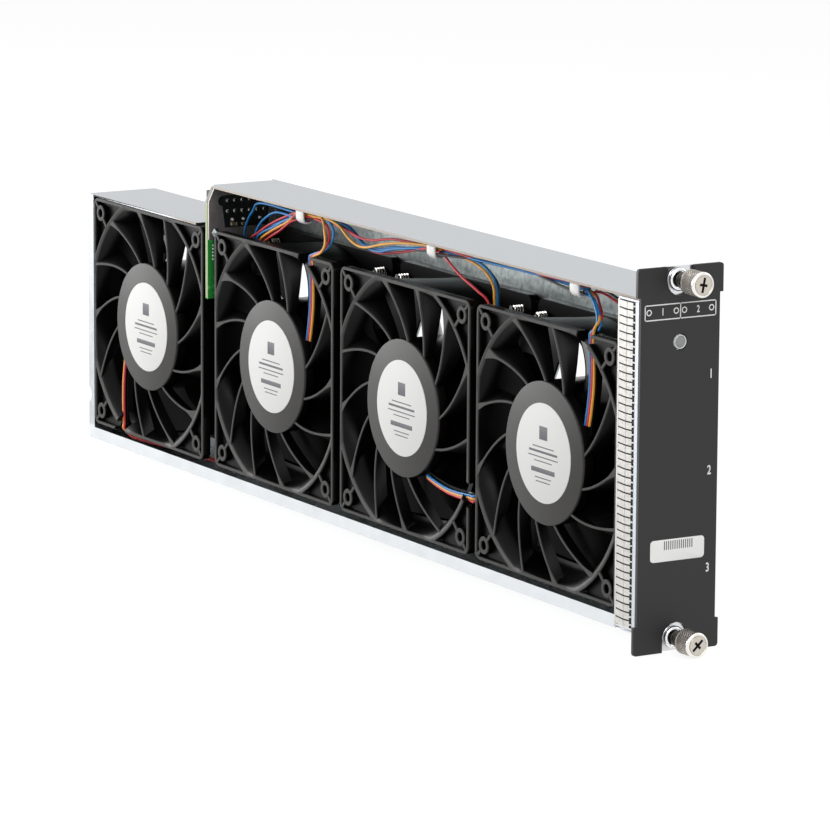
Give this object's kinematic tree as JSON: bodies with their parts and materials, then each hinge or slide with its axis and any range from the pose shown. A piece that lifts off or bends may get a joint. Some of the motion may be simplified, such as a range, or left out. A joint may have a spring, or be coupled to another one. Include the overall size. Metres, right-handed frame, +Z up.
{
  "type": "switch fan tray",
  "caption": "Slide-in fan tray for a network switch: bent sheet-metal tray with a row of axial fans, a faceplate with captive thumbscrews and a blind-mate connector.",
  "frame": {"origin": "centre of the bounding box at its lowest point, under the faceplate and tray", "axes": "+Y from the faceplate to the rear, +Z up, +X away from the fans' open (intake) side"},
  "size_m": [0.045, 0.5502, 0.1731],
  "materials": {
    "zinc_steel": "zinc-plated sheet, satin",
    "bright_steel": "bright plated",
    "spring_steel": "tin-plated spring strip",
    "nickel_steel": "nickel plated, turned",
    "chrome_trim": "polished",
    "bronze": "sintered",
    "copper_winding": "enamelled wire on a laminated core",
    "ferrite": "dull",
    "black_paint": "fine powder coat",
    "black_plastic": "moulded, slightly glossy",
    "rotor_plastic": "moulded, glossy",
    "connector_black": "moulded",
    "nylon": "natural nylon",
    "circuit_board": "solder resist",
    "lens": "clear, unlit",
    "wire_jacket": "coloured insulation"
  },
  "bodies": {
    "tray": {"tray_shell": "zinc_steel", "front_bulkhead": "bright_steel", "faceplate": "black_paint", "emi_gasket": "spring_steel", "step_bracket": "zinc_steel", "interface_board": "circuit_board", "blind_mate_connector": "connector_black", "status_lens": "lens", "status_bezel": "chrome_trim", "wire_harness": "wire_jacket", "light_lead": "wire_jacket", "harness_header": "connector_black", "harness_plug": "nylon", "fan_header": "connector_black", "fan_plug": "nylon", "board_screw_near": "zinc_steel", "board_screw_far": "zinc_steel", "wire_clip_front": "nylon", "wire_clip_middle": "nylon", "wire_clip_rear": "nylon", "upper_spring": "spring_steel", "upper_ferrule": "bright_steel", "lower_spring": "spring_steel", "lower_ferrule": "bright_steel", "fan_frame_4": "black_plastic", "bearing_4": "bronze", "stator_4": "copper_winding", "driver_board_4": "circuit_board", "fan_lead_4": "wire_jacket", "fan_frame_3": "black_plastic", "bearing_3": "bronze", "stator_3": "copper_winding", "driver_board_3": "circuit_board", "fan_lead_3": "wire_jacket", "fan_frame_2": "black_plastic", "bearing_2": "bronze", "stator_2": "copper_winding", "driver_board_2": "circuit_board", "fan_lead_2": "wire_jacket", "fan_frame_1": "black_plastic", "bearing_1": "bronze", "stator_1": "copper_winding", "driver_board_1": "circuit_board", "fan_lead_1": "wire_jacket"},
    "rotor_4": {"impeller_4": "rotor_plastic", "magnet_ring_4": "ferrite", "shaft_4": "nickel_steel"},
    "rotor_3": {"impeller_3": "rotor_plastic", "magnet_ring_3": "ferrite", "shaft_3": "nickel_steel"},
    "rotor_2": {"impeller_2": "rotor_plastic", "magnet_ring_2": "ferrite", "shaft_2": "nickel_steel"},
    "rotor_1": {"impeller_1": "rotor_plastic", "magnet_ring_1": "ferrite", "shaft_1": "nickel_steel"},
    "upper_ring": {"upper_retaining_ring": "spring_steel"},
    "upper_screw": {"upper_thumbscrew": "nickel_steel"},
    "lower_ring": {"lower_retaining_ring": "spring_steel"},
    "lower_screw": {"lower_thumbscrew": "nickel_steel"}
  },
  "joints": [
    {"name": "rotor_spin_4", "type": "hinge", "parent": "tray", "child": "rotor_4", "pos_m": [0.0007, -0.17738, 0.0776], "axis": [1, 0, 0], "continuous": true},
    {"name": "rotor_spin_3", "type": "hinge", "parent": "tray", "child": "rotor_3", "pos_m": [0.0007, -0.05117, 0.0776], "axis": [1, 0, 0], "continuous": true},
    {"name": "rotor_spin_2", "type": "hinge", "parent": "tray", "child": "rotor_2", "pos_m": [0.0007, 0.07602, 0.0776], "axis": [1, 0, 0], "continuous": true},
    {"name": "rotor_spin_1", "type": "hinge", "parent": "tray", "child": "rotor_1", "pos_m": [0.0007, 0.20883, 0.0776], "axis": [1, 0, 0], "continuous": true},
    {"name": "upper_screw_travel", "type": "slide", "parent": "tray", "child": "upper_ring", "axis": [0, 1, 0], "range_m": [0, 0.006], "stiffness_N_per_m": 300, "springref_m": -0.001, "deforming": ["upper_spring"]},
    {"name": "upper_screw_turn", "type": "hinge", "parent": "upper_ring", "child": "upper_screw", "pos_m": [0, -0.26577, 0.16695], "axis": [0, 1, 0], "continuous": true},
    {"name": "lower_screw_travel", "type": "slide", "parent": "tray", "child": "lower_ring", "axis": [0, 1, 0], "range_m": [0, 0.006], "stiffness_N_per_m": 300, "springref_m": -0.001, "deforming": ["lower_spring"]},
    {"name": "lower_screw_turn", "type": "hinge", "parent": "lower_ring", "child": "lower_screw", "pos_m": [0, -0.26577, 0.00615], "axis": [0, 1, 0], "continuous": true}
  ]
}
